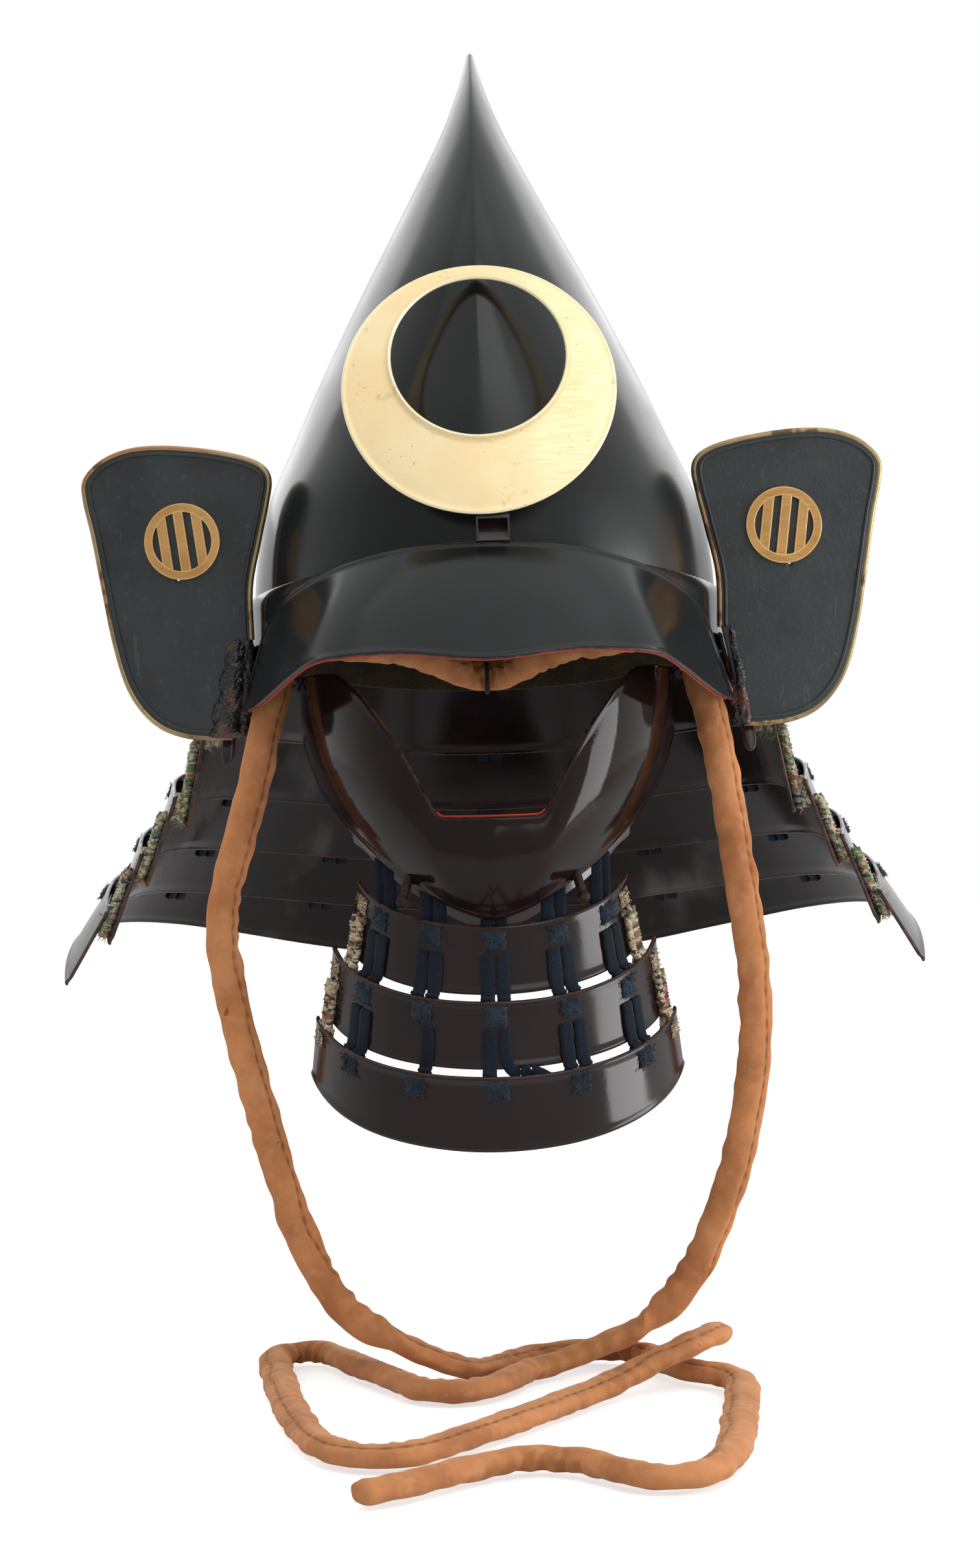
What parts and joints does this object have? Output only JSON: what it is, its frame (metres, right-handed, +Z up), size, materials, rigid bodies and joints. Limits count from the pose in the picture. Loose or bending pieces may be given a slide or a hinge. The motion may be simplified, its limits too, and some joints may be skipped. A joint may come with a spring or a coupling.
{
  "type": "lacquered court helmet",
  "caption": "Tall peach-shaped lacquered helmet with peak, ring crest, turned-back wings, laced neck guard, half mask with throat guard and a velvet chin cord.",
  "frame": {"origin": "centre of the bowl's rim plane, where the helmet sits on the head", "axes": "+Z up to the bowl's tip, the wearer faces -Y, +X to the viewer's right"},
  "size_m": [0.424, 0.5447, 0.648],
  "materials": {
    "black_lacquer": "gloss",
    "brown_lacquer": "gloss",
    "gilt_brass": "satin",
    "aged_brass": "worn satin",
    "dark_iron": "matte",
    "tang_wood": "matte",
    "facing_leather": "satin",
    "lining_cloth": "matte",
    "indigo_lace": "matte",
    "tie_cord": "matte",
    "brown_velvet": "velvet"
  },
  "bodies": {
    "helmet": {"bowl": "black_lacquer", "rim_band": "black_lacquer", "visor": "black_lacquer", "visor_rivets": "dark_iron", "band_rivets": "dark_iron", "crest_socket": "black_lacquer", "liner": "lining_cloth", "liner_edge": "lining_cloth", "neck_lame_1": "black_lacquer", "neck_guard_rivets": "dark_iron", "neck_laces_1": "indigo_lace", "turnback_facing_left": "facing_leather", "turnback_facing_right": "facing_leather", "turnback_rim_left": "aged_brass", "turnback_rim_right": "aged_brass", "badge_left": "gilt_brass", "badge_right": "gilt_brass", "mask_tie_left": "tie_cord", "mask_tie_right": "tie_cord", "cord_loop_left": "tie_cord", "cord_loop_right": "tie_cord", "cord_loop_back": "tie_cord", "held_cord": "brown_velvet", "chin_cord_left": "brown_velvet", "chin_cord_right": "brown_velvet"},
    "crest": {"crest_ring": "gilt_brass", "crest_lip": "gilt_brass", "crest_tang": "tang_wood", "crest_rivets": "dark_iron"},
    "lame_2": {"neck_lame_2": "brown_lacquer", "neck_ties_2": "indigo_lace", "neck_laces_2": "indigo_lace"},
    "lame_3": {"neck_lame_3": "brown_lacquer", "neck_ties_3": "indigo_lace", "neck_laces_3": "indigo_lace"},
    "lame_4": {"neck_lame_4": "brown_lacquer", "neck_ties_4": "indigo_lace", "neck_laces_4": "indigo_lace"},
    "lame_5": {"neck_lame_5": "brown_lacquer", "neck_ties_5": "indigo_lace"},
    "mask": {"chin_guard": "brown_lacquer", "chin_flange": "brown_lacquer", "chin_pegs": "dark_iron", "mask_laces": "indigo_lace"},
    "throat_1": {"throat_lame_1": "brown_lacquer", "throat_ties_1": "indigo_lace", "throat_laces_1": "indigo_lace"},
    "throat_2": {"throat_lame_2": "brown_lacquer", "throat_ties_2": "indigo_lace", "throat_laces_2": "indigo_lace"},
    "throat_3": {"throat_lame_3": "brown_lacquer", "throat_ties_3": "indigo_lace"}
  },
  "joints": [
    {"name": "crest_slide", "type": "slide", "parent": "helmet", "child": "crest", "axis": [0, 0.3256, 0.9455], "range_m": [0, 0.02]},
    {"name": "lame_2_rise", "type": "slide", "parent": "helmet", "child": "lame_2", "axis": [0, 0, 1], "range_m": [0, 0.012], "deforming": ["neck_laces_1"]},
    {"name": "lame_3_rise", "type": "slide", "parent": "lame_2", "child": "lame_3", "axis": [0, 0, 1], "range_m": [0, 0.012], "deforming": ["neck_laces_2"]},
    {"name": "lame_4_rise", "type": "slide", "parent": "lame_3", "child": "lame_4", "axis": [0, 0, 1], "range_m": [0, 0.012], "deforming": ["neck_laces_3"]},
    {"name": "lame_5_rise", "type": "slide", "parent": "lame_4", "child": "lame_5", "axis": [0, 0, 1], "range_m": [0, 0.012], "deforming": ["neck_laces_4"]},
    {"name": "mask_swing", "type": "hinge", "parent": "helmet", "child": "mask", "pos_m": [0, -0.02, -0.014], "axis": [-1, 0, 0], "range_deg": [0, 6]},
    {"name": "throat_1_rise", "type": "slide", "parent": "mask", "child": "throat_1", "axis": [0, 0, 1], "range_m": [0, 0.002], "deforming": ["mask_laces"]},
    {"name": "throat_2_rise", "type": "slide", "parent": "throat_1", "child": "throat_2", "axis": [0, 0, 1], "range_m": [0, 0.01], "deforming": ["throat_laces_1"]},
    {"name": "throat_3_rise", "type": "slide", "parent": "throat_2", "child": "throat_3", "axis": [0, 0, 1], "range_m": [0, 0.01], "deforming": ["throat_laces_2"]}
  ]
}
